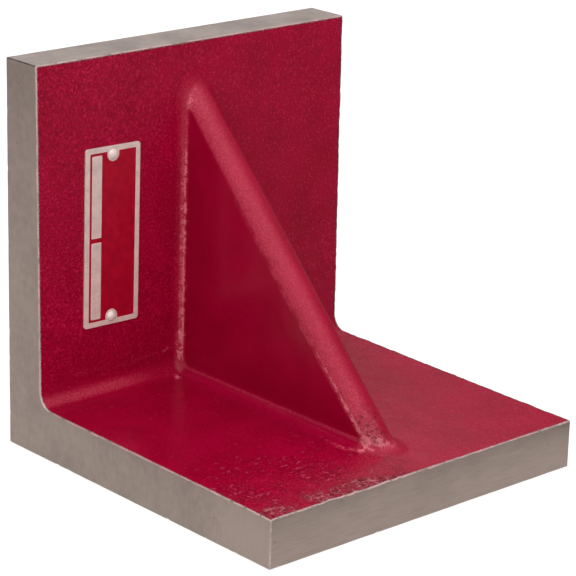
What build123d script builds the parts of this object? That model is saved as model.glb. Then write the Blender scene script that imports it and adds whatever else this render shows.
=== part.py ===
from build123d import *
import os
from math import copysign, cos, radians, sin, tan

# Webbed angle plate: a square-cornered iron casting that holds work upright on a machine table.
# All six outside faces are ground. The inside faces are left as cast, with draft, a large fillet along the
# corner, and a single web with a full-round sloping edge and a smaller fillet all round its root. A small
# badge is fixed to the upright with two drive screws. Sizes are in millimetres. +Z is up, X runs along the
# corner, the upright stands at +Y and the base runs towards -Y. The origin is the middle of the underside.

# ---- Casting -------------------------------------------------------------------------------------------
width = 152.4               # along X, between the ground ends
depth = 152.4               # along Y, front edge of the base to the back of the upright
height = 152.4              # along Z, underside to the top edge
upright_edge_wall = 18.65   # thickness of the upright at its top edge
base_edge_wall = 18.85      # thickness of the base at its front edge
wall_draft = 0.54           # degrees; each wall thickens towards the corner, so the pattern draws
web_nose_width = 13.0       # across the full-round sloping edge of the web
web_draft = 1.5             # degrees on each flank of the web, which thickens towards the corner
web_top_gap = 14.4          # top edge down to where the web's crown line meets the upright
web_front_gap = 18.4        # front edge back to where the web's crown line meets the base
corner_fillet = 6.35        # along the corner, where the upright and the base meet
web_fillet = 3.8            # all round the web's root, where it meets both walls and the corner
edge_break = 0.4            # small flat stoned on every edge of the ground faces

# ---- Badge ---------------------------------------------------------------------------------------------
plate_width = 26.0
plate_height = 70.5
plate_thickness = 0.8
plate_corner = 1.2          # radius of its corners
plate_lean = 1.1            # degrees clockwise; it is riveted on by hand, a little out of square
plate_shift = 1.8           # its middle, from the middle of the bare panel towards the web
plate_drop = 7.4            # its middle, below the middle of the bare panel
plate_border = 2.0          # raised rim round the etched field
etch_depth = 0.12
window_width = 4.5          # two tall raised windows down the field's left side
window_margin = 1.15        # field's edge to the windows
window_gap = 1.9            # between the two windows
upper_window_height = 32.0

# ---- Drive screws --------------------------------------------------------------------------------------
screw_from_end = 3.25       # badge's end to the screw's axis
screw_head_diameter = 4.2
screw_head_height = 1.3
screw_shank_diameter = 2.3
screw_shank_length = 6.4
screw_point = 0.4           # lead-in at the end of the shank
screw_clearance = 0.05      # round the shank, in the badge and in the casting
hole_spare_depth = 0.6      # drilled hole beyond the end of the shank
land_margin = 0.6           # raised land round the screw's head
drill_half_angle = 59.0     # degrees, of the cone at the bottom of a drilled hole

back = depth / 2
front = -depth / 2
wall_slope = tan(radians(wall_draft))


# ---- Walls ---------------------------------------------------------------------------------------------
def upright_face_y(z):
    """Y of the upright's drafted inside face at height z."""
    return back - upright_edge_wall - (height - z) * wall_slope


def base_face_z(y):
    """Z of the base's drafted inside face at y."""
    return base_edge_wall + (y - front) * wall_slope


# The two drafted faces meet in a line along X, where y = upright_face_y(base_face_z(y)).
corner_y = (upright_face_y(base_edge_wall) - front * wall_slope**2) / (1 - wall_slope**2)
corner = Vector(0, corner_y, base_face_z(corner_y))

wall_outline = Polyline(
    (front, 0),
    (back, 0),
    (back, height),
    (upright_face_y(height), height),
    (corner.Y, corner.Z),
    (front, base_face_z(front)),
    close=True,
)
walls = extrude(Plane.YZ * make_face(wall_outline), amount=width / 2, both=True)
corner_edge = walls.edges().filter_by(Axis.X).sort_by_distance(corner)[0]
walls = fillet(corner_edge, corner_fillet)

# ---- Web -----------------------------------------------------------------------------------------------
# The crown line is the ridge of the web's sloping edge, from the base up to the upright.
crown_foot = Vector(0, front + web_front_gap, base_face_z(front + web_front_gap))
crown_top = Vector(0, upright_face_y(height - web_top_gap), height - web_top_gap)
crown = crown_top - crown_foot

# The web's section lies square to the crown line: local x is across the web, local y is depth behind
# the crown, towards the corner.
section_plane = Plane(origin=crown_foot, x_dir=(1, 0, 0), z_dir=crown.normalized())

nose_radius = web_nose_width / 2
flank_start_x = nose_radius * cos(radians(web_draft))
flank_start_depth = nose_radius * (1 - sin(radians(web_draft)))


def web_half_width(depth_behind_crown):
    """Half the web's width on its drafted flanks."""
    return flank_start_x + (depth_behind_crown - flank_start_depth) * tan(radians(web_draft))


# The section reaches past the corner into both walls, and runs past both ends of the crown line.
root_depth = section_plane.to_local_coords(corner).Y + upright_edge_wall / 2
root_half_width = web_half_width(root_depth)
nose = ThreePointArc((-flank_start_x, flank_start_depth), (0, 0), (flank_start_x, flank_start_depth))
flanks = Polyline(
    (flank_start_x, flank_start_depth),
    (root_half_width, root_depth),
    (-root_half_width, root_depth),
    (-flank_start_x, flank_start_depth),
)
web_bar = extrude(section_plane * make_face([nose, flanks]), amount=2 * crown.length, both=True)

# Only what stands in the angle is kept, with half of each wall for the web to root in.
rooting_depth = depth - upright_edge_wall / 2
rooting_height = height - base_edge_wall / 2
angle_space = Pos(0, front, height) * Box(
    width, rooting_depth, rooting_height, align=(Align.CENTER, Align.MIN, Align.MAX)
)
web = web_bar & angle_space

# ---- Casting: web and walls in one, with the web's fillet and the broken edges ---------------------------
casting = walls + web
web_root_edges = new_edges(walls, web, combined=casting)
casting = fillet(web_root_edges, web_fillet)

ground_edges = ShapeList()
for axis in (Axis.X, Axis.Y, Axis.Z):
    faces_along = casting.faces().sort_by(axis)
    for ground_face in (faces_along[0], faces_along[-1]):
        ground_edges += ShapeList(edge for edge in ground_face.edges() if edge not in ground_edges)
casting = chamfer(ground_edges, edge_break)

# ---- Badge's seat on the upright -----------------------------------------------------------------------
# The bare panel left of the web runs from the ground end to the web's fillet, and from the corner's fillet
# to the top edge. The seat's local x runs across the badge, y runs up it and z points out of the casting.
panel_middle_z = (corner.Z + corner_fillet + height) / 2
seat_z = panel_middle_z - plate_drop
seat_y = upright_face_y(seat_z)
web_depth_at_seat = section_plane.to_local_coords(Vector(0, seat_y, seat_z)).Y
panel_right = -web_half_width(web_depth_at_seat) - web_fillet
seat_x = (-width / 2 + panel_right) / 2 + plate_shift
panel = Plane(origin=(seat_x, seat_y, seat_z), x_dir=(1, 0, 0), z_dir=(0, -1, wall_slope))
seat = panel * Rot(0, 0, -plate_lean)

screw_reach = plate_height / 2 - screw_from_end
screw_places = {"top": screw_reach, "bottom": -screw_reach}
hole_radius = screw_shank_diameter / 2 + screw_clearance
hole_depth = screw_shank_length - plate_thickness + hole_spare_depth


def drilled_hole():
    """A blind drilled hole, mouth at z = 0, running towards -Z."""
    bore = Cylinder(hole_radius, hole_depth, align=(Align.CENTER, Align.CENTER, Align.MAX))
    cone_height = hole_radius / tan(radians(drill_half_angle))
    cone_top = Plane((0, 0, -hole_depth), z_dir=(0, 0, -1))
    return bore + cone_top * Cone(hole_radius, 0, cone_height, align=(Align.CENTER, Align.CENTER, Align.MIN))


for screw_y in screw_places.values():
    casting -= seat * Pos(0, screw_y) * drilled_hole()

# ---- Nameplate: blank, with a rim, two windows and the lands round its screws standing above the etch ------
field_width = plate_width - 2 * plate_border
field_height = plate_height - 2 * plate_border
window_x = -field_width / 2 + window_margin + window_width / 2
lower_window_height = field_height - 2 * window_margin - window_gap - upper_window_height
upper_window_y = field_height / 2 - window_margin - upper_window_height / 2
lower_window_y = -field_height / 2 + window_margin + lower_window_height / 2
land_radius = screw_head_diameter / 2 + land_margin

field = Rectangle(field_width, field_height)
field -= Pos(window_x, upper_window_y) * Rectangle(window_width, upper_window_height)
field -= Pos(window_x, lower_window_y) * Rectangle(window_width, lower_window_height)
for screw_y in screw_places.values():
    rim_y = copysign(plate_height / 2, screw_y)
    land_neck = Pos(0, (screw_y + rim_y) / 2) * Rectangle(2 * land_radius, screw_from_end)
    field -= Pos(0, screw_y) * Circle(land_radius) + land_neck

blank = RectangleRounded(plate_width, plate_height, plate_corner)
for screw_y in screw_places.values():
    blank -= Pos(0, screw_y) * Circle(hole_radius)
nameplate = extrude(blank, amount=plate_thickness)
nameplate -= Pos(0, 0, plate_thickness - etch_depth) * extrude(field, amount=etch_depth)


# ---- Drive screw ---------------------------------------------------------------------------------------
def drive_screw():
    """A hammer-drive screw, seated at z = 0, with its head above and its plain shank below."""
    head_radius = screw_head_diameter / 2
    shank_radius = screw_shank_diameter / 2
    dome = TangentArc((0, screw_head_height), (head_radius, 0), tangent=(1, 0))
    stem = Polyline(
        (head_radius, 0),
        (shank_radius, 0),
        (shank_radius, screw_point - screw_shank_length),
        (shank_radius - screw_point, -screw_shank_length),
        (0, -screw_shank_length),
        (0, screw_head_height),
    )
    return revolve(Plane.XZ * make_face([dome, stem]), Axis.Z)


# ---- Nodes ---------------------------------------------------------------------------------------------
nodes = {"casting": casting, "nameplate": seat * nameplate}
for end, screw_y in screw_places.items():
    nodes[f"drive_screw_{end}"] = seat * Pos(0, screw_y, plate_thickness) * drive_screw()

os.makedirs("parts", exist_ok=True)
for name, solid in nodes.items():
    export_step(solid, f"parts/{name}.step")
    print(name, "volume", round(solid.volume, 1), "mm3")
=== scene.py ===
# %% [markdown]
# # A webbed angle plate
# An angle plate stands on a machine table and holds work square to it. This one is a single iron casting: an
# upright, a base and one sloping web between them. The six outside faces are ground bare and flat, and all
# that lies inside the angle is left as it came out of the sand, under crimson paint. A small metal badge is
# held on the upright by two drive screws.
#
# The solid model gives every size and place. This file gives it its looks: the skin of the casting, the
# ground faces with their broken edges, the badge, and the light.

# %% Load the solid model
import math

import bmesh
import bpy
import numpy as np
from mathutils import Matrix, Quaternion, Vector, noise


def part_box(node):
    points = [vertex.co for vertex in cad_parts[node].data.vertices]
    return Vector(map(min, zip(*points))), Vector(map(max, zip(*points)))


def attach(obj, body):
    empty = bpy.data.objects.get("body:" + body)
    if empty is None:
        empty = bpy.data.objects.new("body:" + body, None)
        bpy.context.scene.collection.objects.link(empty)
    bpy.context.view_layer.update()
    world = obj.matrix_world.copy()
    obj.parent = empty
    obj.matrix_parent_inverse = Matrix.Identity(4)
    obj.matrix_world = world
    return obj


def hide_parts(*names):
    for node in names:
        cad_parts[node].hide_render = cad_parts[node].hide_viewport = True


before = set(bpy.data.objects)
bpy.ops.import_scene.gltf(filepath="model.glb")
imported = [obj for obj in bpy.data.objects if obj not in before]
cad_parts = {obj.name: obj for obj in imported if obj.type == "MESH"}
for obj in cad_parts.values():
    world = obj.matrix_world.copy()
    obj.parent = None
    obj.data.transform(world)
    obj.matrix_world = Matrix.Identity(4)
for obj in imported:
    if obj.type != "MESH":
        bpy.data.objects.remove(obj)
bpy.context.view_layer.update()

MM = 0.001
low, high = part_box("casting")
print("casting from", tuple(low), "to", tuple(high))

# %% [markdown]
# ## The camera
# A long lens from a metre away keeps the plate's square corners looking square. The camera stands to the left
# of the front edge and above the top, so that the inside of the angle shows together with its left end.
# `back` is the direction from the plate to the camera. The small roll is how far the camera is out of level.

# %% The camera
view_azimuth, view_elevation, view_roll = -42.22, 18.225, 1.504   # degrees
view_distance = 946.6 * MM
view_aim = Vector((-2.84, -0.98, 68.2)) * MM
view_lens = 157.35   # mm, on the standard 36 mm sensor
near_clip = 50 * MM


def placed(name, data):
    """A new object in the scene, made from this mesh, lamp or camera."""
    piece = bpy.data.objects.new(name, data)
    bpy.context.scene.collection.objects.link(piece)
    return piece


turn, rise = math.radians(view_azimuth), math.radians(view_elevation)
back = Vector((math.sin(turn) * math.cos(rise), -math.cos(turn) * math.cos(rise), math.sin(rise)))
camera = placed("camera", bpy.data.cameras.new("camera"))
camera.data.lens = view_lens
camera.data.clip_start = near_clip
camera.location = view_aim + back * view_distance
camera.rotation_mode = "QUATERNION"
camera.rotation_quaternion = back.to_track_quat("Z", "Y") @ Quaternion((0, 0, 1), math.radians(view_roll))
bpy.context.scene.camera = camera
bpy.context.scene.view_settings.view_transform = "Standard"
print("camera at", tuple(camera.location))

# %% [markdown]
# ## Writing shaders as sums
# A material is a graph of nodes, but most of it is arithmetic. `Wire` wraps one socket, so that `1 - mask` or
# `grain * 0.3 + stain` adds the Math nodes by itself. `Graph.add` makes any other node: its settings are set
# first, because some of them change which sockets the node has, and then its sockets get values or wires.

# %% Wires and graphs
class Wire:
    """One output socket, with Python's arithmetic. Each operation adds a Math node."""

    def __init__(self, graph, socket):
        self.graph, self.socket = graph, socket

    def math(self, operation, first, second):
        return self.graph.add("ShaderNodeMath", {"operation": operation}, {0: first, 1: second})

    def __add__(self, other):
        return self.math("ADD", self, other)

    def __sub__(self, other):
        return self.math("SUBTRACT", self, other)

    def __rsub__(self, other):
        return self.math("SUBTRACT", other, self)

    def __mul__(self, other):
        return self.math("MULTIPLY", self, other)

    __radd__ = __add__
    __rmul__ = __mul__

    def ramp(self, start, end):
        """0 up to start, 1 from end on, and smooth between. start may be larger than end."""
        sockets = {"Value": self, "From Min": start, "From Max": end}
        return self.graph.add("ShaderNodeMapRange", {"interpolation_type": "SMOOTHSTEP"}, sockets)


class Graph:
    """Adds nodes to one node tree."""

    def __init__(self, tree):
        self.tree = tree
        tree.nodes.clear()

    def add(self, kind, settings=None, sockets=None, out=0):
        """A node of any kind, with its settings and its sockets' values or wires. Gives back one output."""
        node = self.tree.nodes.new(kind)
        for name, value in (settings or {}).items():
            setattr(node, name, value)
        for name, value in (sockets or {}).items():
            if isinstance(value, Wire):
                self.tree.links.new(value.socket, node.inputs[name])
            else:
                node.inputs[name].default_value = value
        return Wire(self, node.outputs[out]) if node.outputs else None

    def mix(self, share, first, second):
        """Colour first, with this share of colour second laid over it."""
        return self.add("ShaderNodeMix", {"data_type": "RGBA"}, {0: share, 6: first, 7: second}, out=2)

    def place(self, **scales):
        """The surface's own coordinates in millimetres, squeezed by these factors along x, y or z."""
        point = self.add("ShaderNodeTexCoord", out=3)
        per_axis = [scales.get(axis, 1.0) / MM for axis in "xyz"]
        return self.add("ShaderNodeVectorMath", {"operation": "MULTIPLY"}, {0: point, 1: per_axis})

    def noise(self, size, depth, rough=0.5, **scales):
        """Noise around 0.5, with features of about this size in millimetres."""
        sockets = {"Vector": self.place(**scales), "Scale": 1 / size, "Detail": depth, "Roughness": rough}
        return self.add("ShaderNodeTexNoise", None, sockets)

    def cells(self, size):
        """Distance to the nearest of many scattered points, about this far apart in millimetres."""
        return self.add("ShaderNodeTexVoronoi", None, {"Vector": self.place(), "Scale": 1 / size})

    def painted(self, name):
        """A value that the mesh itself carries, point by point."""
        return self.add("ShaderNodeAttribute", {"attribute_name": name}, out=2)

    def bump(self, height, depth):
        """Small relief: height times this depth in millimetres."""
        return self.add("ShaderNodeBump", None, {"Height": height, "Distance": depth * MM})


def new_material(name):
    """An empty material and its graph."""
    material = bpy.data.materials.new(name)
    material.use_nodes = True
    return material, Graph(material.node_tree)


def finish_surface(graph, **sockets):
    """Ends a material in the standard surface shader. Underscores stand for the spaces in socket names."""
    values = {name.replace("_", " "): value for name, value in sockets.items()}
    shader = graph.add("ShaderNodeBsdfPrincipled", None, values)
    graph.add("ShaderNodeOutputMaterial", None, {"Surface": shader})


# %% [markdown]
# ## The studio
# The plate stands in a white tent. White is what the camera sees, and what the plate reflects. The light that
# falls on the plate is set apart from it, in the part of the world that only soft light reads, and in the
# lamps. The floor does the same, but keeps a share of plain shading for its shadow.

# %% The tent
ambient = 0.40
world = bpy.data.worlds.new("tent")
world.use_nodes = True
bpy.context.scene.world = world
tent = Graph(world.node_tree)


def seen_directly(graph):
    """1 for rays from the camera and for what is seen in gloss or through glass, else 0."""
    kinds = [graph.add("ShaderNodeLightPath", out=name) for name in
             ("Is Camera Ray", "Is Glossy Ray", "Is Transmission Ray")]
    return (kinds[0] + kinds[1] + kinds[2]).ramp(0, 1)


tent_light = tent.add("ShaderNodeBackground", None, {"Color": (1, 1, 1, 1), "Strength": ambient})
tent_white = tent.add("ShaderNodeBackground", None, {"Color": (1, 1, 1, 1), "Strength": 1.0})
tent_mix = tent.add("ShaderNodeMixShader", None, {0: seen_directly(tent), 1: tent_light, 2: tent_white})
tent.add("ShaderNodeOutputWorld", None, {"Surface": tent_mix})
print("tent lights the plate at", ambient)

# %% The floor
floor_size = 8.0
floor_grey, floor_white, floor_shadow_share = 0.8, 0.86, 0.2


def flat_sheet(name, corners, material):
    """One flat face with these corners, in metres."""
    mesh = bpy.data.meshes.new(name)
    mesh.from_pydata(corners, [], [tuple(range(len(corners)))])
    mesh.materials.append(material)
    return placed(name, mesh)


floor_material, sheet = new_material("floor_paper")
paper = sheet.add("ShaderNodeBsdfDiffuse", None, {"Color": (floor_grey,) * 3 + (1,)})
paper_shadow = sheet.add("ShaderNodeBsdfDiffuse", None, {"Color": (floor_shadow_share,) * 3 + (1,)})
paper_white = sheet.add("ShaderNodeEmission", None, {"Strength": floor_white})
paper_seen = sheet.add("ShaderNodeAddShader", None, {0: paper_shadow, 1: paper_white})
paper_mix = sheet.add("ShaderNodeMixShader", None, {0: seen_directly(sheet), 1: paper, 2: paper_seen})
sheet.add("ShaderNodeOutputMaterial", None, {"Surface": paper_mix})
half = floor_size / 2
floor_corners = [(-half, -half, 0), (half, -half, 0), (half, half, 0), (-half, half, 0)]
floor = flat_sheet("floor", floor_corners, floor_material)
print("floor", floor_size, "m wide")

# %% [markdown]
# Four soft lamps shape the plate. Only the key light, high on the left, shows in the gloss: it draws the
# highlights on the web's nose and the fillets. The rest only fill.

# %% Lamps
lamp_aim = Vector((0, 0, 60)) * MM


def soft_box(name, towards, distance, width, height, strength):
    """A soft lamp of this width and height in metres, at this distance from the plate and shining at it."""
    lamp = bpy.data.lights.new(name, "AREA")
    lamp.shape, lamp.size, lamp.size_y = "RECTANGLE", width, height
    lamp.energy = strength * width * height * math.pi
    holder = placed(name, lamp)
    out = Vector(towards).normalized()
    holder.location = lamp_aim + out * distance
    holder.rotation_mode = "QUATERNION"
    holder.rotation_quaternion = out.to_track_quat("Z", "Y")
    holder.visible_camera = False
    return holder


soft_box("key_light", (-0.60, -0.34, 0.72), 1.5, 1.9, 2.1, 0.88)
for lamp in (soft_box("top_light", (0.05, -0.15, 1.0), 1.5, 1.2, 1.2, 1.6),
             soft_box("back_fill", (0.3, 0.7, 0.75), 1.5, 1.4, 1.4, 2.6),
             soft_box("front_fill", (-0.1, -1.0, 0.35), 1.5, 1.0, 1.0, 1.6)):
    lamp.visible_glossy = False
print("lamps:", ", ".join(lamp.name for lamp in bpy.data.lights))

# %% [markdown]
# Glossy paint mirrors whatever faces it, and a flat face that mirrors a white tent looks grey. So dark cards
# stand round the plate and lie beside it, where its flat faces would mirror the tent. Each glows a little, as
# much as its face should be veiled. The cards stop no light on its way to the plate.

# %% Dark cards
card_lift = 2 * MM


def dark_card(name, glow, corners):
    """A card that darkens the plate's reflections on one side. Only gloss sees it, not the camera."""
    material, graph = new_material(name)
    grey = graph.add("ShaderNodeEmission", None, {"Strength": glow})
    graph.add("ShaderNodeOutputMaterial", None, {"Surface": grey})
    card = flat_sheet(name, corners, material)
    card.visible_camera = False
    card.visible_diffuse = False
    card.visible_shadow = False


def standing(start, end, height):
    """Corners of an upright card between two points of the floor."""
    (ax, ay), (bx, by) = start, end
    return [(ax, ay, 0), (bx, by, 0), (bx, by, height), (ax, ay, height)]


def lying(*corners):
    """Corners of a card that lies just above the floor."""
    return [(x, y, card_lift) for x, y in corners]


dark_card("card_front", 0.10, standing((-0.42, -0.9), (1.0, -0.9), 0.62))
dark_card("card_right", 0.12, standing((1.0, -0.9), (1.0, 0.9), 0.62))
dark_card("card_back_right", 0.06, standing((1.0, 0.9), (0.45, 0.9), 0.55))
dark_card("card_back_left", 0.01, standing((-1.6, 0.9), (0.12, 0.9), 1.8))
dark_card("card_high_front", 0.5,
          [(x, -0.95, z) for x, z in ((0.0, 0.62), (1.05, 0.62), (1.05, 1.4), (0.2, 1.4))])
dark_card("card_high_right", 0.4,
          [(1.05, y, z) for y, z in ((-0.95, 0.62), (0.9, 0.62), (0.9, 1.4), (-0.95, 1.4))])
dark_card("card_low_front", 0.015,
          lying((-0.75, -0.8), (0.2, -0.8), (0.2, -0.17), (0.13, -0.11), (-0.12, -0.13)))
dark_card("card_low_right", 0.09,
          lying((0.085, -0.07), (0.2, -0.17), (0.2, -0.8), (1.0, -0.8), (1.0, 0.6), (0.085, 0.6)))
dark_card("card_low_left", 0.06, lying((-0.6, -0.10), (-0.13, 0.015), (-0.13, 0.10), (-0.6, 0.16)))
dark_card("card_low_corner", 0.5,
          lying((-0.75, -0.8), (-0.12, -0.13), (-0.13, 0.015), (-0.6, -0.10), (-1.0, -0.5)))
print("cards:", ", ".join(mesh.name for mesh in bpy.data.meshes if mesh.name.startswith("card_")))

# %% [markdown]
# ## The casting's shape as a distance
# A sand casting has no sharp edge anywhere inside: every face runs into the next through a fillet. Boxes and
# bevels would fight over the places where three fillets meet. So the inside is written as a distance: a
# function that says how far a point is from the iron. Two flat walls and one web each have a simple one, and
# `blended` joins two of them with a round fillet of a given radius. The sizes are those of the solid model.

# %% Sizes of the walls and the web
width = high.x - low.x
front, rear, top = low.y, high.y, high.z
upright_edge_wall = 18.65 * MM
base_edge_wall = 18.85 * MM
wall_slope = math.tan(math.radians(0.54))
web_nose_radius = 6.5 * MM
web_draft = math.radians(1.5)
web_top_gap = 14.4 * MM
web_front_gap = 18.4 * MM
corner_fillet = 6.35 * MM
web_fillet = 3.8 * MM

crown_foot = np.array([0, front + web_front_gap, base_edge_wall + web_front_gap * wall_slope])
crown_top = np.array([0, rear - upright_edge_wall - web_top_gap * wall_slope, top - web_top_gap])
crown_length = np.linalg.norm(crown_top - crown_foot)
crown = (crown_top - crown_foot) / crown_length
inwards = np.array([0, crown[2], -crown[1]])   # square to the crown, towards the corner of the angle
print("crown line", round(crown_length / MM, 1), "mm long")


# %% Distances
def upright_distance(p):
    """Distance in front of the upright's drafted face."""
    return rear - upright_edge_wall - (top - p[:, 2]) * wall_slope - p[:, 1]


def base_distance(p):
    """Distance above the base's drafted face."""
    return p[:, 2] - base_edge_wall - (p[:, 1] - front) * wall_slope


def web_distance(p):
    """Distance from the web: a full-round nose along the crown line, then two drafted flanks."""
    side = np.abs(p[:, 0])
    depth = (p - crown_foot) @ inwards - web_nose_radius
    out = side * math.cos(web_draft) - depth * math.sin(web_draft)
    along_flank = side * math.sin(web_draft) + depth * math.cos(web_draft)
    return np.where(along_flank > 0, out, np.hypot(side, depth)) - web_nose_radius


def blended(first, second, radius):
    """Distance from two shapes together, with a fillet of this radius in the angle between them."""
    hollow = np.hypot(np.maximum(radius - first, 0), np.maximum(radius - second, 0))
    return np.maximum(radius, np.minimum(first, second)) - hollow


def cast_distance(p):
    """Distance from the casting's inside: both walls and the web, with every fillet."""
    walls = blended(upright_distance(p), base_distance(p), corner_fillet)
    return blended(walls, web_distance(p), web_fillet)


def outward(p):
    """The direction away from the iron at each point, felt out by a small step each way."""
    step = 0.02 * MM
    rises = [cast_distance(p + d) - cast_distance(p - d) for d in np.eye(3) * step]
    slope = np.stack(rises, axis=1)
    return slope / np.linalg.norm(slope, axis=1, keepdims=True)


def settle(p, rounds):
    """Moves points along the slope of the distance until they lie on the casting."""
    for _ in range(rounds):
        p = p - outward(p) * cast_distance(p)[:, None]
    return p


# %% [markdown]
# ## Pouring the casting
# The distance says where the surface is, but a mesh also needs an even net of small faces to carry the sand's
# relief. Three crude overlapping blocks give the topology: Blender's voxel remesh fuses them into even quads,
# and `settle` then pulls each point onto the true surface. Like the real one, it is poured larger than the
# finished plate, so that the outside faces can be cut flat afterwards.

# %% Three crude blocks, fused
faces_across = 192
voxel = width / faces_across
oversize = 3 * MM


def add_block(mesh, outline, half_width):
    """A prism across X from an outline of (y, z) points."""
    left, right = ([mesh.verts.new((x, y, z)) for y, z in outline] for x in (-half_width, half_width))
    mesh.faces.new(left)
    mesh.faces.new(reversed(right))
    for i in range(len(outline)):
        j = (i + 1) % len(outline)
        mesh.faces.new((left[j], left[i], right[i], right[j]))


def piece_from(shape, name):
    """A new object made from a shape that is built in a bmesh."""
    mesh = bpy.data.meshes.new(name)
    shape.to_mesh(mesh)
    shape.free()
    return placed(name, mesh)


wall_y, wall_z = crown_top[1], crown_foot[2]
within_y, within_z = wall_y + oversize, wall_z - oversize   # where the base and the web end inside the iron
block_front, block_rear, block_foot, block_top = front - oversize, rear + oversize, -oversize, top + oversize
upright_outline = [(wall_y, block_foot), (block_rear, block_foot), (block_rear, block_top),
                   (wall_y, block_top)]
base_outline = [(block_front, block_foot), (within_y, block_foot), (within_y, wall_z), (block_front, wall_z)]
web_outline = [(crown_foot[1], within_z), (within_y, within_z), (within_y, crown_top[2]),
               (wall_y, crown_top[2]), (crown_foot[1], wall_z)]
blocks = bmesh.new()
add_block(blocks, upright_outline, width / 2 + oversize)
add_block(blocks, base_outline, width / 2 + oversize)
add_block(blocks, web_outline, web_nose_radius)
bmesh.ops.recalc_face_normals(blocks, faces=blocks.faces[:])
block_object = piece_from(blocks, "blocks")
fuse = block_object.modifiers.new("fuse", "REMESH")
fuse.mode, fuse.voxel_size = "VOXEL", voxel
net = bpy.data.meshes.new_from_object(block_object.evaluated_get(bpy.context.evaluated_depsgraph_get()))
bpy.data.objects.remove(block_object)
print("fused net has", len(net.polygons), "faces")


# %% Settle the net on the casting
def coordinates(mesh):
    """Where the mesh's points lie, one row for each."""
    flat = np.empty(len(mesh.vertices) * 3)
    mesh.vertices.foreach_get("co", flat)
    return flat.reshape(-1, 3)


def relaxed(p, edges, counts):
    """Each point moved halfway to the middle of its neighbours, which evens out the net."""
    total = np.zeros_like(p)
    np.add.at(total, edges[:, 0], p[edges[:, 1]])
    np.add.at(total, edges[:, 1], p[edges[:, 0]])
    return (p + total / counts[:, None]) / 2


points = coordinates(net)
edges = np.array([edge.vertices[:] for edge in net.edges])
counts = np.bincount(edges.ravel(), minlength=len(points))
# Only the inside is settled: the outside faces are cut away afterwards.
inside = (points[:, 1] < rear - oversize / 2) & (points[:, 2] > oversize / 2)
inside &= np.abs(points[:, 0]) < width / 2 + oversize / 2
inside &= (points[:, 1] > front - oversize / 2) & (points[:, 2] < top + oversize / 2)
rounds = 4
for _ in range(rounds):
    points[inside] = relaxed(points, edges, counts)[inside]
    points[inside] = settle(points[inside], rounds)
normals = outward(points)
print("settled to within", round(float(np.abs(cast_distance(points[inside])).max() / MM), 4), "mm")


# %% [markdown]
# ## The sand's relief
# The skin repeats the mould: slow waves where the sand gave way, lumps where it was patched, and the grain
# itself. It is coarse on the open upright, finer on the base and nearly smooth on the web's flanks. Where the
# sand washed out, at the base's front edge and the web's foot, it is pitted. Each such place is a mask: one
# number for each point of the net, 1 inside the place and 0 outside. The masks also go to the paint, so that
# what is rough in shape is rough in colour too. Waves and lumps are pushed into the net itself, so that
# highlights break up over them, and only the finest grain is left to the shader.

# %% Fades and lumps
def fade(value, start, end):
    """0 up to start, 1 from end on, smooth between, for arrays."""
    share = np.clip((value - start) / (end - start), 0, 1)
    return share * share * (3 - 2 * share)


def lumps(p, size, depth, seed):
    """Noise around 0 with features of about this size in millimetres."""
    shift = Vector((3.7, 1.3, 9.1)) * seed
    return np.array([noise.fractal(Vector(q) / (size * MM) + shift, 1.0, 2.0, depth) for q in p])


def covered(mask):
    """How much of the net a mask covers."""
    return round(float(mask.mean()), 3)


waves = lumps(points, 26, 2, seed=1)
print("slow waves from", round(float(waves.min()), 2), "to", round(float(waves.max()), 2))

# %% The casting's regions
x, y, z = (points / MM).T
face_upright = fade(-normals[:, 1], 0.8, 0.97)
face_base = fade(normals[:, 2], 0.8, 0.97)
face_flank = fade(np.abs(normals[:, 0]), 0.8, 0.97)
left_side = fade(-x, -2, 6)
nose = fade(web_distance(points) / MM, 0.6, 0.2)
nose *= fade(0.5 * (normals[:, 2] - normals[:, 1]), 0.3 - 0.22 * left_side, 0.6 - 0.42 * left_side)
fillets = np.clip(1 - face_upright - face_base - face_flank - nose, 0, 1) * fade(y, 36, 46)
regions = {"upright": face_upright, "base": face_base, "flanks": face_flank, "nose": nose, "fillets": fillets}
print("share of the net:", {name: covered(mask) for name, mask in regions.items()})

# %% Where the skin is coarse or pitted
coarse = face_upright * (0.55 + 0.45 * fade(-x, -30, 60)) * (0.5 + 0.5 * fade(z, 25, 60))
coarse += face_base * (0.4 - left_side * (0.15 - 0.5 * fade(-y, 25, 70)))
coarse += face_flank * 0.10 + nose * 0.25 + fillets * (0.2 + 0.3 * left_side)
patchy = fade(lumps(points, 3.0, 3, seed=7), -0.25, 0.15)
ragged = lumps(points, 1.5, 2, seed=8)
broken = fade(ragged, -0.1, 0.12)
crumbled = face_base * fade(-y, 63, 70) * fade(-x, 4, 14) * fade(lumps(points, 9, 2, seed=4), -0.45, 0.0)
foot_pits = nose * fade(-y, 40, 47) * fade(-x, -2.5, 1) * 0.72
edge_grime = fade(x, 74.4, 75.6) * 0.55   # dirt in the paint along the right-hand end
pitted = np.clip(crumbled + foot_pits + edge_grime, 0, 1)
print("coarse", covered(coarse), "pitted", covered(pitted))

# %% [markdown]
# Where the paint is rubbed, or has come up in crumbs, the crimson turns pale as dust: on this plate, a patch
# on the web's foot and the crumbled front edge of the base. The same pale colour paints highlights too: a
# ragged line down the left root of the web, with lumps of paint at its lower end that catch the light, the
# left part of the corner fillet with a faint ridge above it, the left side and rim of the nose, the top end
# of the web, and a thin line that curls away from the foot's patch.

# %% Where the paint is rubbed pale, and where highlights are painted pale
def near(path, reach):
    """1 on a line drawn through these points, in millimetres, and 0 at this reach from it."""
    nearest = np.full(len(points), 1e9)
    for start, end in zip(np.array(path, float), np.array(path[1:], float)):
        share = np.clip((points / MM - start) @ (end - start) / np.sum((end - start)**2), 0, 1)
        away = points / MM - start - share[:, None] * (end - start)
        nearest = np.minimum(nearest, np.linalg.norm(away, axis=1))
    return fade(nearest, reach, reach * 0.3)


# Painted highlight: pale paint along the fillet at the left root of the web, where its normals turn from the
# upright to the flank.
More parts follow.
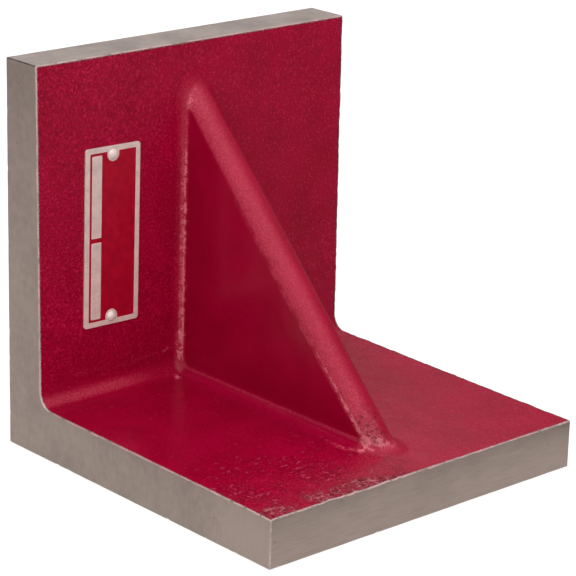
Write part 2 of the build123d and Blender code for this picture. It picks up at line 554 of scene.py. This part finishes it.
left_turn = 0.10 * ragged - normals[:, 0]
flank_turn = fade(left_turn, 0.58, 0.72) * fade(left_turn, 0.985, 0.93)
by_upright = fade(upright_distance(points) / MM, 5, 3.5)
web_root_highlight = flank_turn * by_upright * fade(z, 31, 35) * (0.8 - 0.5 * fade(z, 95, 125)) * (0.7 + 0.3 * patchy)
# Real lumps of paint at the lower end of the root, pushed into the mesh; their pale colour is partly painted
# highlight.
root_path = [(-8.8, 55, 35), (-9.3, 54.5, 27), (-11, 53, 24), (-13.5, 51, 21.5), (-14.5, 49, 20.5)]
root_lumps = near(root_path, 2.3) * (0.5 + 0.7 * broken)
root_lumps += near([(-14, 56, 30.5), (-18, 56, 29.5)], 1.0) * broken * 0.7
# Painted highlight along the left part of the corner fillet, and painted light specks on the faint ridge
# above it; the ridge is also pushed into the mesh.
corner_fillet_highlight = fillets * left_side * fade(z, 27, 24) * fade(-x, 20, 40) * fade(y, 44, 50)
ridge = near([(-62, 56.4, 29.6), (-36, 56.4, 28.6), (-11, 56.4, 30)], 1.1) * patchy
# Painted highlight on the nose: its left side and its left rim are painted pale, and the web's upper end a
# little.
nose_left = fade(-x, -1.0, 3.2)
nose_edge = [(-6.4, -50, 20.5), (-6.4, -12, 57.3), (-6.4, 38, 109)]
nose_rim_highlight = near(nose_edge, 1.5) * (0.3 + 0.7 * patchy) * fade(z, 105, 80)
web_tip_highlight = near([(-4, 56, 133), (-1, 50, 129)], 8) * 0.1
foot_patch = near([(-6, -50, 20.5), (-3, -54, 20), (1, -55, 20.5)], 5.2) * (0.28 + 0.4 * patchy)
# Painted highlight: a thin pale curl along the fillet round the web's foot.
hook_path = [(-12, -38, 19.2), (-12, -43, 19.2), (-9.5, -49, 19.2), (-5, -54, 19.2)]
foot_hook_highlight = near(hook_path, 1.8) * (0.3 + 0.7 * broken)
painted_foot_shade = near([(5.5, -44, 24), (8.5, -50, 20)], 4)   # painted shade: the right side of the foot is kept dark, without pale paint
# Where the paint turns pale: real wear at the foot's patch and the crumbled edge, lumps and a ridge that are
# partly real, and painted highlight in the rest.
dust_and_sheen = web_root_highlight + root_lumps + corner_fillet_highlight * 0.5 + ridge * 0.15 + nose_rim_highlight * 0.6 + foot_patch + foot_hook_highlight * 0.8
# The nose is painted pale as a highlight, most on its left side and towards the front; the crumbled edge is
# real wear.
dust_and_sheen += nose * (0.06 + nose_left * (0.46 + 0.14 * fade(-y, 30, 50)) - painted_foot_shade) + web_tip_highlight + crumbled * 0.15
dust_and_sheen = np.clip(dust_and_sheen, 0, 1)
print("dust_and_sheen", covered(dust_and_sheen))

# %% Where the paint is speckled with painted glints, and where a sheen is painted along the fillet
# The speckled part of the base, where pink specks are painted as glints; it is also a little darker.
specked = face_base * left_side * (0.2 + 0.8 * fade(-y, 0, 66))
specked *= fade(lumps(points, 7, 3, seed=9), -0.3, 0.35)
# Painted sheen: a lighter, bluer band along the fillet left of the web; the paint there is a little glossier
# too.
fillet_sheen = near([(-10.2, 46, 21.5), (-9.8, 5, 21.2), (-9.4, -42, 20.8)], 5.5)   # the fillet left of the web
print("specked", covered(specked), "fillet_sheen", covered(fillet_sheen))

# %% Push the skin in and out
relief = 0.10 * waves
relief += 0.05 * lumps(points, 7, 2, seed=2) * (0.5 + coarse)
relief += 0.075 * lumps(points, 2.1, 2, seed=3) * coarse
relief += 0.30 * lumps(points, 3.2, 3, seed=5) * pitted
relief += 0.22 * lumps(points, 2.4, 2, seed=6) * dust_and_sheen + 0.45 * root_lumps + 0.08 * ridge
points[inside] += (normals * (relief * MM)[:, None])[inside]
net.vertices.foreach_set("co", points.ravel())
to_edge = np.minimum.reduce([width / 2 - np.abs(points[:, 0]), top - points[:, 2], points[:, 1] - front]) / MM
masks = {"coarse": coarse, "pitted": pitted, "dust_and_sheen": dust_and_sheen, "specked": specked, "fillet_sheen": fillet_sheen,
         "edge": fade(-to_edge, -1.9, -0.3)}
for name, values in masks.items():
    net.attributes.new(name, "FLOAT", "POINT").data.foreach_set("value", values.astype(np.float32))
print("relief from", round(float(relief[inside].min()), 3), "to", round(float(relief[inside].max()), 3), "mm")

# %% [markdown]
# ## Grinding the outside
# The ground faces are planes, and each edge where two of them meet, or where one meets the rough skin, is
# broken with a stone: a narrow flat that catches the light. First the four sides that cross the skin are cut,
# half a voxel inside the finished size, where the net's own lines lie. What is left of the skin is a sheet
# with one long rim.

# %% Cut the skin to size
edge_break = voxel / 2
snap, snapped = 0.3 * voxel, 0.31 * voxel   # points this near to a cut are moved onto it
touching = 0.01 * voxel
skin = bmesh.new()
skin.from_mesh(net)
side_cuts = [((1, 0, 0), width / 2 - edge_break), ((-1, 0, 0), width / 2 - edge_break),
             ((0, 0, 1), top - edge_break), ((0, -1, 0), -front - edge_break)]
for normal, distance in side_cuts:
    plane = Vector(normal)
    everything = skin.verts[:] + skin.edges[:] + skin.faces[:]
    bmesh.ops.bisect_plane(skin, geom=everything, plane_co=plane * distance, plane_no=plane, dist=snap,
                           clear_outer=True)
    for vert in skin.verts:
        off = vert.co.dot(plane) - distance
        if abs(off) < snapped:
            vert.co -= plane * off
outside = [v for v in skin.verts if v.co.y > rear - upright_edge_wall / 2 or v.co.z < base_edge_wall / 2]
bmesh.ops.delete(skin, geom=outside, context="VERTS")
rim_edges = [edge for edge in skin.edges if edge.is_boundary]
print("skin has", len(skin.faces), "faces and a rim of", len(rim_edges), "edges")

# %% [markdown]
# Every edge and corner of the finished casting follows from one list: which three faces meet at each corner.
# Two corners that share two faces are the ends of an edge between those faces. So one loop makes them all,
# ground against ground as well as ground against skin, and each gets its narrow broken flat. A hand stone
# never takes off quite the same amount, so the flats waver, and have a nick here and there.

# %% The ground faces and the corners
ground = {"left": (Vector((-1, 0, 0)), width / 2), "right": (Vector((1, 0, 0)), width / 2),
          "front": (Vector((0, -1, 0)), -front), "rear": (Vector((0, 1, 0)), rear),
          "top": (Vector((0, 0, 1)), top), "under": (Vector((0, 0, -1)), 0.0)}
corners = [("left", "rear", "under"), ("right", "rear", "under"), ("left", "front", "under"),
           ("right", "front", "under"), ("left", "rear", "top"), ("right", "rear", "top"),
           ("left", "front", "skin"), ("right", "front", "skin"), ("left", "top", "skin"),
           ("right", "top", "skin")]
paint_slot, painted_edge_slot, iron_edge_slot, ends_slot, sides_slot, flats_slot = range(6)
skin_normal = skin.verts.layers.float_vector.new("skin_normal")
skin.normal_update()
for vert in skin.verts:
    vert[skin_normal] = vert.normal


def cut_by(vert):
    """The ground faces whose cut this point of the rim lies on."""
    return {name for name, (normal, distance) in ground.items()
            if abs(vert.co.dot(normal) - distance + edge_break) < touching}


rim_verts = {vert for edge in rim_edges for vert in edge.verts}
rim = [next(vert for vert in rim_verts if cut_by(vert) == {"left", "front"})]
while len(rim) < len(rim_verts):
    around = (edge.other_vert(rim[-1]) for edge in rim[-1].link_edges if edge.is_boundary)
    rim.append(next(vert for vert in around if vert not in rim[-2:]))
rim.append(rim[0])
print("rim of", len(rim) - 1, "points, past", len(corners), "corners")


def on_ground(vert, name):
    """A new point on a ground face, beside a point of the rim, the broken edge's width into the iron."""
    normal = ground[name][0]
    out = vert[skin_normal] - normal * vert[skin_normal].dot(normal)
    waver = 0.9 + 0.6 * noise.noise(vert.co / (1.7 * MM)) + 0.4 * noise.noise(vert.co / (9 * MM))
    return skin.verts.new(vert.co + normal * edge_break - out.normalized() * edge_break * max(waver, 0.25))


# %% One point for each face at each corner
corner_points = {}
for corner in corners:
    at_skin = "skin" in corner
    if at_skin:
        rim_corner = next(vert for vert in rim if cut_by(vert) == set(corner) - {"skin"})
        corner_points[corner, "skin"] = rim_corner
    for name in corner:
        if name == "skin":
            continue
        if at_skin:
            corner_points[corner, name] = on_ground(rim_corner, name)
            continue
        place = Vector()
        for other in corner:
            normal, distance = ground[other]
            place += normal * (distance - (0 if other == name else edge_break))
        corner_points[corner, name] = skin.verts.new(place)
    skin.faces.new([corner_points[corner, name] for name in corner]).material_index = painted_edge_slot
print("corner points", len(corner_points))

# %% The flats along the edges
flat_step = 1.5 * MM


def stoned_row(start, end, away, seed):
    """New points along one side of a ground edge, from start to end; its flat is wider at a nick."""
    steps = max(2, round((end.co - start.co).length / flat_step))
    row = [start]
    for i in range(1, steps):
        place = start.co.lerp(end.co, i / steps)
        waver = 0.25 * noise.noise(place / (6 * MM) + Vector((seed, 0, 0)))
        nick = max(0.0, noise.noise(place / (2.2 * MM) + Vector((0, seed, 0))) - 0.42) * 4
        row.append(skin.verts.new(place - away * edge_break * (waver + nick)))
    return row + [end]


for i, first in enumerate(corners):
    for second in corners[i + 1:]:
        shared = sorted(set(first) & set(second), key=lambda name: name == "skin")
        if len(shared) < 2:
            continue
        one, other = shared
        ends = [(corner_points[corner, one], corner_points[corner, other]) for corner in (first, second)]
        if other == "skin":
            wanted = [vert for vert in rim[:-1] if one in cut_by(vert)]
            start = rim.index(ends[0][1])
            circle = rim[start:-1] + rim[:start]
            if circle[1] not in wanted:
                circle = circle[:1] + circle[:0:-1]
            other_row = circle[:len(wanted)]
            one_row = [ends[0][0]] + [on_ground(vert, one) for vert in other_row[1:-1]] + [ends[1][0]]
        else:
            seed = i * 3.1
            one_row = stoned_row(ends[0][0], ends[1][0], ground[other][0], seed)
            other_row = stoned_row(ends[0][1], ends[1][1], ground[one][0], seed)
        for k in range(len(one_row) - 1):
            quad = skin.faces.new((one_row[k], one_row[k + 1], other_row[k + 1], other_row[k]))
            quad.material_index = painted_edge_slot if other == "skin" else iron_edge_slot
print("faces with the flats", len(skin.faces))

# %% Fill the ground faces
open_edges = [edge for edge in skin.edges if edge.is_boundary]
filled = bmesh.ops.holes_fill(skin, edges=open_edges, sides=0)["faces"]
bmesh.ops.recalc_face_normals(skin, faces=skin.faces[:])
lay_slot = {"left": ends_slot, "right": ends_slot, "front": sides_slot, "rear": sides_slot,
            "top": flats_slot, "under": flats_slot}
for face in filled:
    side = max(ground, key=lambda name: face.normal.dot(ground[name][0]))
    face.material_index = lay_slot[side]
    print("ground face", side, len(face.verts), "corners", round(face.calc_area() / MM**2), "mm2")
for face in skin.faces:
    face.smooth = face.material_index == paint_slot
print("open edges left", sum(edge.is_boundary for edge in skin.edges), "volume", skin.calc_volume() / MM**3)
casting = piece_from(skin, "cast_plate")
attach(casting, "root")
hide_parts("casting")

# %% [markdown]
# ## Crimson paint
# The paint is one thick brushed coat of a deep, slightly glossy crimson, straight on the sand-cast skin. It
# shows the grain under it, with painted shade in the hollows and painted glints on the tips. A painted
# sheen lies along the fillet left of the web. The paint has gone pale where it is rubbed, and the same pale
# colour paints highlights on the corner fillet, the web's root, its nose and its foot. At the ground edges
# the stone has chipped it, and the iron shows. A picture of painted iron would stretch over the fillets, so
# noise gives the grain at its real size, about a millimetre, and the masks that the net carries say where
# each kind of wear, and each painted highlight, lies.

# %% Colours of the paint
paint_dark, paint_plain = (0.286, 0.0002, 0.020, 1), (0.334, 0.0004, 0.026, 1)
# A lighter, bluer crimson paints the sheen along the fillet.
# A pale crimson paints glints on the grain's tips.
paint_fillet_sheen, paint_tip_glints = (0.38, 0.0004, 0.036, 1), (0.60, 0.012, 0.086, 1)
# The pale colour serves both rubbed paint and painted highlights.
paint_dust_and_sheen, paint_glint_pink, paint_pale = (0.61, 0.034, 0.088, 1), (0.60, 0.07, 0.13, 1), (0.70, 0.17, 0.21, 1)
# A very dark crimson for painted shade in pits and hollows and for the darker speckled base; a pale one for
# painted highlight on the pits' rims.
pit_dark, pit_rim_highlight = (0.10, 0.001, 0.010, 1), (0.48, 0.15, 0.17, 1)
bare_iron = (0.42, 0.36, 0.32, 1)

# %% Patterns in the paint
paint_material, graph = new_material("crimson_paint")
coarse_here, pitted_here, fillet_sheen_here = (graph.painted(name) for name in ("coarse", "pitted", "fillet_sheen"))
dust_and_sheen_here, specked_here, edge_here = (graph.painted(name) for name in ("dust_and_sheen", "specked", "edge"))
grit, fine = graph.noise(0.85, 2.0, 0.6), graph.noise(0.55, 2.0, 0.6)
tone, smear = graph.noise(20, 3.0), graph.noise(5.5, 3.0)
pits = (graph.cells(2.3) + (fine - 0.5) * 0.35).ramp(0.42, 0.2)


def loops(size):
    """Thin closed curves, like the rims of small blisters: where noise crosses its middle value."""
    away = graph.add("ShaderNodeMath", {"operation": "ABSOLUTE"}, {0: graph.noise(size, 1.5) - 0.5})
    return away.ramp(0.05, 0.0)


# Pale loops round the pits: a painted highlight on their rims.
blisters = (loops(4.5) + loops(2.4) * 0.8).ramp(0.1, 1.0)
# Painted shade in the grain's hollows and painted glints on its tips.
hollows = grit.ramp(0.47, 0.36)
tips = (grit + (fine - 0.5) * 0.3).ramp(0.54, 0.70)
# Painted glints: pink specks on the grain of the speckled base.
specks = (graph.noise(2.1, 2.5, 0.6) + specked_here * 0.06).ramp(0.62, 0.73) * specked_here
crumbs = (fine * 0.6 + grit * 0.6 + dust_and_sheen_here.ramp(0.7, 1.0) * 0.12).ramp(0.54, 0.68) * dust_and_sheen_here
rims = blisters * pitted_here.ramp(0.6, 0.9)
chipped = (edge_here + (grit - 0.5) * 0.9).ramp(0.72, 0.88)
print("the paint's patterns take", len(paint_material.node_tree.nodes), "nodes")

# %% [markdown]
# The colour is built up as the paint was, with painted light laid in between: first the coat with a painted
# sheen along the fillet, then the grain with painted shade in its hollows and painted glints on its tips,
# then the speckles, which are painted glints too, and last the wear, the pale painted highlights, and the
# pits with painted shade in them and a painted highlight on their rims. Each layer covers those before it, as
# far as its pattern and its mask say. So the layers are a plain list, and one loop mixes them.

# %% Colour of the paint
paint_layers = [(tone.ramp(0.32, 0.68), paint_plain),
                # A painted sheen along the fillet left of the web.
                (fillet_sheen_here * 0.6, paint_fillet_sheen),
                (specked_here * 0.3, pit_dark),
                # The grain: painted shade in its hollows, painted glints on its tips.
                (hollows * (coarse_here * 0.28 + specked_here * 0.12 + 0.16), pit_dark),
                (tips * coarse_here * 0.55, paint_tip_glints),
                # Pink specks, painted glints.
                (specks * 0.7, paint_glint_pink),
                # Pale paint and pale crumbs in it: real wear at the foot's patch and the crumbled edge,
                # painted highlight in the rest.
                (dust_and_sheen_here * 0.6, paint_dust_and_sheen),
                (crumbs * (dust_and_sheen_here.ramp(0.35, 1.0) * 0.8 + 0.08), paint_pale),
                # Dark in the pits: painted shade, with real dirt along the right-hand end; pale loops on the
                # pits' rims: painted highlight.
                (pitted_here * (pits * 0.65 + 0.25), pit_dark),
                (rims * 0.75, pit_rim_highlight),
                (chipped, bare_iron)]
paint_colour = paint_dark
for cover, colour in paint_layers:
    paint_colour = graph.mix(cover, paint_colour, colour)
print("the paint's colour has", len(paint_layers), "layers over", paint_dark[:3])

# %% Gloss and relief of the paint
paint_rough = 0.19 + smear.ramp(0.3, 0.7) * 0.04 + coarse_here * 0.06 + tips * coarse_here * 0.15
paint_rough = paint_rough + crumbs * 0.3 + chipped * 0.25 - fillet_sheen_here * 0.06
height = grit * (coarse_here * 0.9 + 0.06) + fine * (coarse_here * 0.25 + 0.02) - pits * pitted_here * 1.2
height = height + crumbs * 0.6 + specks * 0.5 + rims * 1.2
finish_surface(graph, Base_Color=paint_colour, Roughness=paint_rough, Metallic=chipped,
               Specular_IOR_Level=0.22, Normal=graph.bump(height, 0.25))
print("the paint takes", len(paint_material.node_tree.nodes), "nodes")

# %% [markdown]
# ## Broken edge and ground iron
# Ground cast iron is a grey metal with a fine lay: straight scratches, all one way on each face. They are too
# fine and too many to model, so noise that is stretched along the lay draws them. The lay runs upright on the
# two ends and across on the other faces. The top and the underside are painted lighter than the other faces,
# a painted sheen, and the iron is painted brighter towards the base's front edge, a painted reflection of the
# white floor close by. The broken edge is painted brighter too, a painted highlight along each edge, and
# where it borders the skin it keeps crumbs of paint, painted pale, partly as a highlight.

# %% Ground iron
# The lighter colour is for the top and the underside: a painted sheen, lighter than the ends and sides.
iron_grey, iron_painted_lighter = (0.305, 0.240, 0.207), (0.64, 0.535, 0.49)
graphite_dark = (0.12, 0.10, 0.09, 1)


def shade(colour, factor=1.0):
    """A colour made lighter or darker by this factor."""
    return (*(part * factor for part in colour), 1)


def ground_iron(name, lay, base, lines):
    """Ground iron with its lay along 'x' or 'z'. Lines is how strongly the scratches show."""
    material, graph = new_material(name)
    along = {lay: 0.06}
    fine, wide = graph.noise(0.6, 3.0, 0.7, **along), graph.noise(1.8, 2.0, 0.5, **along)
    cloud, blotch = graph.noise(22, 4.0, 0.6), graph.noise(3.2, 3.0, 0.6)
    graphite = graph.cells(9).ramp(0.05, 0.02)
    from_middle = graph.add("ShaderNodeSeparateXYZ", None, {0: graph.place()}, out=1)
    # Painted reflection: brighter towards the base's front edge, as if the white floor close by showed in it.
    painted_floor_sheen = from_middle.ramp(-30, -76) * 0.3
    tone = (cloud * 0.6 + blotch * 0.3 + wide * 0.1 + painted_floor_sheen).ramp(0.3, 0.68)
    colour = graph.mix(tone, shade(base, 0.78), shade(base, 1.1))
    colour = graph.mix(fine.ramp(0.50, 0.68) * lines, colour, shade(base, 1.35))
    colour = graph.mix(fine.ramp(0.50, 0.34) * lines, colour, shade(base, 0.68))
    colour = graph.mix(graphite * 0.5, colour, graphite_dark)
    rough = 0.42 + (cloud - 0.5) * 0.22 + (wide - 0.5) * 0.12 + graphite * 0.2
    height = fine * 0.6 + wide * 0.4 + blotch * 0.15 - graphite * 0.8
    finish_surface(graph, Base_Color=colour, Roughness=rough, Metallic=1.0, Normal=graph.bump(height, 0.02))
    return material


# %% Broken edge
# The stoned colours are brighter than the ground faces, and the crumbs of paint pale pink: partly a painted
# highlight along the edge.
stoned_dark, stoned_bright, paint_crumbs_highlight = (0.34, 0.28, 0.25, 1), (0.52, 0.44, 0.41, 1), (0.62, 0.33, 0.34, 1)


def broken_edge(name, paint_left):
    """Stoned iron, painted bright as a highlight along the edge, with about this share of it still under
    paint.
    """
    material, graph = new_material(name)
    grain, patch = graph.noise(0.7, 3.0, 0.6), graph.noise(4.0, 2.0)
    paint = (grain * 0.6 + patch * 0.4).ramp(0.46 + paint_left * 0.2, 0.38 + paint_left * 0.2)
    iron = graph.mix(grain.ramp(0.3, 0.7), stoned_dark, stoned_bright)
    colour = graph.mix(paint * paint_left, iron, paint_crumbs_highlight)
    metallic = 1 - paint * min(1, paint_left * 2)
    finish_surface(graph, Base_Color=colour, Roughness=0.34 + grain * 0.2, Metallic=metallic,
                   Normal=graph.bump(grain, 0.06))
    return material


# %% The casting's finishes, in the order of their slots
for material in (paint_material,
                 broken_edge("broken_painted_edge", 0.6),
                 broken_edge("broken_iron_edge", 0.0),
                 ground_iron("ground_ends", "z", iron_grey, lines=0.12),
                 ground_iron("ground_sides", "x", iron_grey, lines=0.3),
                 ground_iron("ground_flats", "x", iron_painted_lighter, lines=0.15)):
    casting.data.materials.append(material)
print("the casting's finishes:", ", ".join(material.name for material in casting.data.materials))

# %% [markdown]
# ## The badge
# The badge is a blank of thin aluminium, with its field etched back and coated with red enamel. The rim, two
# blank windows and the lands under the screws stand proud and bare. It could be cut from a slab and bevelled,
# but rings are simpler: each outline is a list of points, drawn again a little further in and at another
# height to round an edge, and neighbouring rings are joined. Its place comes from the two screws, and its
# lean from the line between them.

# %% The badge's own frame
screw_boxes = {end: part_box(f"drive_screw_{end}") for end in ("top", "bottom")}
screw_middles = {end: (Vector(lo) + Vector(hi)) / 2 for end, (lo, hi) in screw_boxes.items()}
seat_middle = (screw_middles["top"] + screw_middles["bottom"]) / 2
seat_middle.y = rear - upright_edge_wall - (top - seat_middle.z) * wall_slope
seat_out = Vector((0, -1, wall_slope)).normalized()
seat_up = screw_middles["top"] - screw_middles["bottom"]
screw_reach = seat_up.length / 2
seat_up = (seat_up - seat_out * seat_up.dot(seat_out)).normalized()
seat_across = seat_up.cross(seat_out)
seat = Matrix((seat_across, seat_up, seat_out)).transposed().to_4x4()
seat.translation = seat_middle
print("screws", round(screw_reach / MM, 2), "mm from the badge's middle")

# %% The badge's sizes
plate_width, plate_height, plate_thickness = 26.0, 70.5, 0.8
plate_corner, plate_border, etch_depth = 1.2, 2.0, 0.12
window_width, window_margin, window_gap, upper_window_height = 4.5, 1.15, 1.9, 32.0
window_corner, field_corner, land_radius = 0.35, 0.4, 2.7
plate_corner_steps, window_corner_steps, field_corner_steps, land_steps = 8, 4, 4, 24


def arc(radius, steps, start, turn):
    """Points on an arc round (0, 0), from the start angle on through this turn, in degrees."""
    angles = [math.radians(start + turn * i / steps) for i in range(steps + 1)]
    return [(radius * math.cos(angle), radius * math.sin(angle)) for angle in angles]


def moved(outline, x, y):
    """The outline, shifted across and up."""
    return [(x + ox, y + oy) for ox, oy in outline]


def rounded_outline(middle, across, up, radius, steps):
    """Points round a rectangle with rounded corners, counter-clockwise, in millimetres."""
    outline = []
    for quarter, (sx, sy) in enumerate(((1, -1), (1, 1), (-1, 1), (-1, -1))):
        corner = arc(radius, steps, 90 * (quarter - 1), 90)
        outline += moved(corner, middle[0] + sx * (across / 2 - radius), middle[1] + sy * (up / 2 - radius))
    return outline


def field_outline():
    """The etched field: a rectangle with a round land and its neck reaching in at each end."""
    half_across, half_up = plate_width / 2 - plate_border, plate_height / 2 - plate_border
    corner_x, corner_y = half_across - field_corner, half_up - field_corner
    upper = moved(arc(field_corner, field_corner_steps, 0, 90), corner_x, corner_y)
    upper.append((land_radius, half_up))
    upper += moved(arc(land_radius, land_steps, 0, -180), 0, screw_reach / MM)
    upper.append((-land_radius, half_up))
    upper += moved(arc(field_corner, field_corner_steps, 90, 90), -corner_x, corner_y)
    return upper + [(-x, -y) for x, y in upper]


def inset(outline, amount):
    """The outline drawn again, further in by this amount."""
    inner = []
    for i, (x, y) in enumerate(outline):
        (ax, ay), (bx, by) = outline[i - 1], outline[(i + 1) % len(outline)]
        along_x, along_y = bx - ax, by - ay
        length = math.hypot(along_x, along_y)
        inner.append((x - along_y / length * amount, y + along_x / length * amount))
    return inner


print("the field's outline has", len(field_outline()), "points")

# %% The badge's rings, walls and faces
badge_bmesh = bmesh.new()
face_height, floor_height = plate_thickness, plate_thickness - etch_depth
# Each profile says how far in from the outline, and how high, the rings of a rounded edge lie.
edge_profile = [(0.08, 0), (0, 0.08), (0, face_height - 0.16), (0.05, face_height - 0.05),
                (0.16, face_height)]
field_profile = [(0, face_height), (0.04, face_height - 0.03), (0.09, floor_height)]
window_profile = [(-0.08, floor_height), (-0.03, face_height - 0.03), (0, face_height)]


def ring(outline, height):
    """New points along an outline at this height, and the edges between them."""
    verts = [badge_bmesh.verts.new((x, y, height)) for x, y in outline]
    return verts, [badge_bmesh.edges.new((verts[i - 1], verts[i])) for i in range(len(verts))]


def wall(outline, profile):
    """Rings after a profile, joined by bands of faces. Gives back the edges of the first and the last."""
    rings = [ring(inset(outline, amount), height) for amount, height in profile]
    for (lower, _), (upper, _) in zip(rings, rings[1:]):
        for i in range(len(lower)):
            badge_bmesh.faces.new((lower[i - 1], lower[i], upper[i], upper[i - 1]))
    return rings[0][1], rings[-1][1]


def flat(edges, slot=0):
    """Fills between closed outlines, the outer one and its holes."""
    filled = bmesh.ops.triangle_fill(badge_bmesh, edges=edges, use_beauty=True, normal=(0, 0, 1))["geom"]
    for face in filled:
        if isinstance(face, bmesh.types.BMFace):
            face.material_index = slot


blank_outline = rounded_outline((0, 0), plate_width, plate_height, plate_corner, plate_corner_steps)
under_edges, top_edges = wall(blank_outline, edge_profile)
field_edges, field_foot = wall(field_outline(), field_profile)
flat(under_edges)
flat(top_edges + field_edges)

lower_window_height = plate_height - 2 * (plate_border + window_margin) - window_gap - upper_window_height
window_x = -plate_width / 2 + plate_border + window_margin + window_width / 2
window_end = plate_height / 2 - plate_border - window_margin
window_feet = []
for window_height, window_y in ((upper_window_height, window_end - upper_window_height / 2),
                                (lower_window_height, lower_window_height / 2 - window_end)):
    window = rounded_outline((window_x, window_y), window_width, window_height, window_corner,
                             window_corner_steps)
    window_foot, window_top = wall(window, window_profile)
    flat(window_top)
    window_feet += window_foot
flat(field_foot + window_feet, slot=1)
bmesh.ops.recalc_face_normals(badge_bmesh, faces=badge_bmesh.faces[:])
badge_bmesh.transform(seat @ Matrix.Scale(MM, 4))
print("badge", len(badge_bmesh.faces), "faces, open edges", sum(e.is_boundary for e in badge_bmesh.edges))
badge = piece_from(badge_bmesh, "badge")
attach(badge, "root")
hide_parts("nameplate")

# %% [markdown]
# The bare aluminium is dull and finely brushed along the badge, with a few scratches across it. The enamel is
# a warmer and brighter red than the paint, and lies as a thin even coat on the etched floor.

# %% Badge finishes
def brushed_metal(name, base, rough, metallic):
    """Aluminium or steel, faintly brushed, with small dents and scratches."""
    material, graph = new_material(name)
    brushed, dull = graph.noise(0.5, 3.0, 0.6, z=0.1), graph.noise(4.0, 3.0)
    scratch = graph.noise(1.1, 4.0, 0.7, x=0.25).ramp(0.60, 0.64)
    colour = graph.mix(dull.ramp(0.3, 0.7), shade(base, 0.86), shade(base))
    colour = graph.mix(scratch * 0.5, colour, shade(base, 0.62))
    surface_rough = rough + (dull - 0.5) * 0.2 + scratch * 0.15
    height = brushed * 0.5 + dull * 1.5 - scratch * 0.6
    finish_surface(graph, Base_Color=colour, Roughness=surface_rough, Metallic=metallic,
                   Normal=graph.bump(height, 0.015))
    return material


def red_enamel():
    """Thin glossy enamel in the etch."""
    material, graph = new_material("red_enamel")
    flow, speck = graph.noise(3.0, 2.0), graph.noise(0.6, 3.0)
    colour = graph.mix(flow.ramp(0.3, 0.7), (0.31, 0.0008, 0.015, 1), (0.38, 0.0015, 0.018, 1))
    colour = graph.mix(speck.ramp(0.62, 0.75) * 0.3, colour, (0.55, 0.05, 0.07, 1))
    finish_surface(graph, Base_Color=colour, Roughness=0.28 + flow * 0.12, Specular_IOR_Level=0.25,
                   Normal=graph.bump(flow + speck * 0.3, 0.02))
    return material


badge.data.materials.append(brushed_metal("badge_aluminium", (0.86, 0.68, 0.63), 0.42, metallic=0.3))
badge.data.materials.append(red_enamel())
print("the badge's finishes:", ", ".join(material.name for material in badge.data.materials))

# %% [markdown]
# ## Drive screws
# A drive screw is hammered into a plain hole and never comes out: a round head, and a shank with steep spiral
# flutes that bite. The flutes could be cut from a turned rod one by one. Here the screw is turned from one
# profile, and on the shank the radius also swings with the angle, which draws all the flutes at once.

# %% A screw's profile
screw_head, screw_height, shank, shank_length, shank_point = 4.2, 1.3, 2.3, 6.4, 0.4
flute_start, flute_rows, row_gap = 0.5, 20, 0.25   # along the shank, under the head
flutes, flute_swing, flute_twist = 8, 0.09, 1.6
dome_rows, segments, sharp_turn = 12, 48, math.radians(40)
dome_radius = (screw_head**2 / 4 + screw_height**2) / (2 * screw_height)
dome_angle = math.asin(screw_head / 2 / dome_radius)
screw_profile = [(dome_radius * math.sin(a), screw_height - dome_radius * (1 - math.cos(a)), 0)
                 for a in (dome_angle * i / dome_rows for i in range(1, dome_rows + 1))]
screw_profile += [(shank / 2, 0.0, 0), (shank / 2, -flute_start, 0)]
screw_profile += [(shank / 2, -flute_start - row_gap * i, 1) for i in range(1, flute_rows + 1)]
screw_profile += [(shank / 2, shank_point - shank_length, 0), (shank / 2 - shank_point, -shank_length, 0)]
print("a screw's profile has", len(screw_profile), "rows: radius, height, and whether it is fluted")


# %% Drive screws
def drive_screw(name, middle_y):
    """A drive screw in its seat, at this height along the badge."""
    turned = bmesh.new()
    rows = []
    for radius, height, fluted in screw_profile:
        row = []
        for i in range(segments):
            angle = 2 * math.pi * i / segments
            reach = radius - fluted * flute_swing * (1 - math.cos(flutes * angle + flute_twist * height))
            spot = (reach * math.cos(angle), middle_y + reach * math.sin(angle), plate_thickness + height)
            row.append(turned.verts.new(spot))
        rows.append(row)
    for upper, lower in zip(rows, rows[1:]):
        for i in range(segments):
            turned.faces.new((upper[i - 1], lower[i - 1], lower[i], upper[i]))
    crown_point = turned.verts.new((0, middle_y, plate_thickness + screw_height))
    for i in range(segments):
        turned.faces.new((crown_point, rows[0][i - 1], rows[0][i]))
    turned.faces.new(rows[-1])
    bmesh.ops.recalc_face_normals(turned, faces=turned.faces[:])
    turned.transform(seat @ Matrix.Scale(MM, 4))
    for face in turned.faces:
        face.smooth = True
    for edge in turned.edges:
        edge.smooth = edge.calc_face_angle(0) < sharp_turn
    print(name, len(turned.faces), "faces")
    piece = piece_from(turned, name)
    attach(piece, "root")
    return piece


screw_steel = brushed_metal("screw_steel", (0.84, 0.70, 0.65), 0.45, metallic=0.2)
for end, side in (("top", 1), ("bottom", -1)):
    screw = drive_screw(f"domed_screw_{end}", side * screw_reach / MM)
    screw.data.materials.append(screw_steel)
    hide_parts(f"drive_screw_{end}")
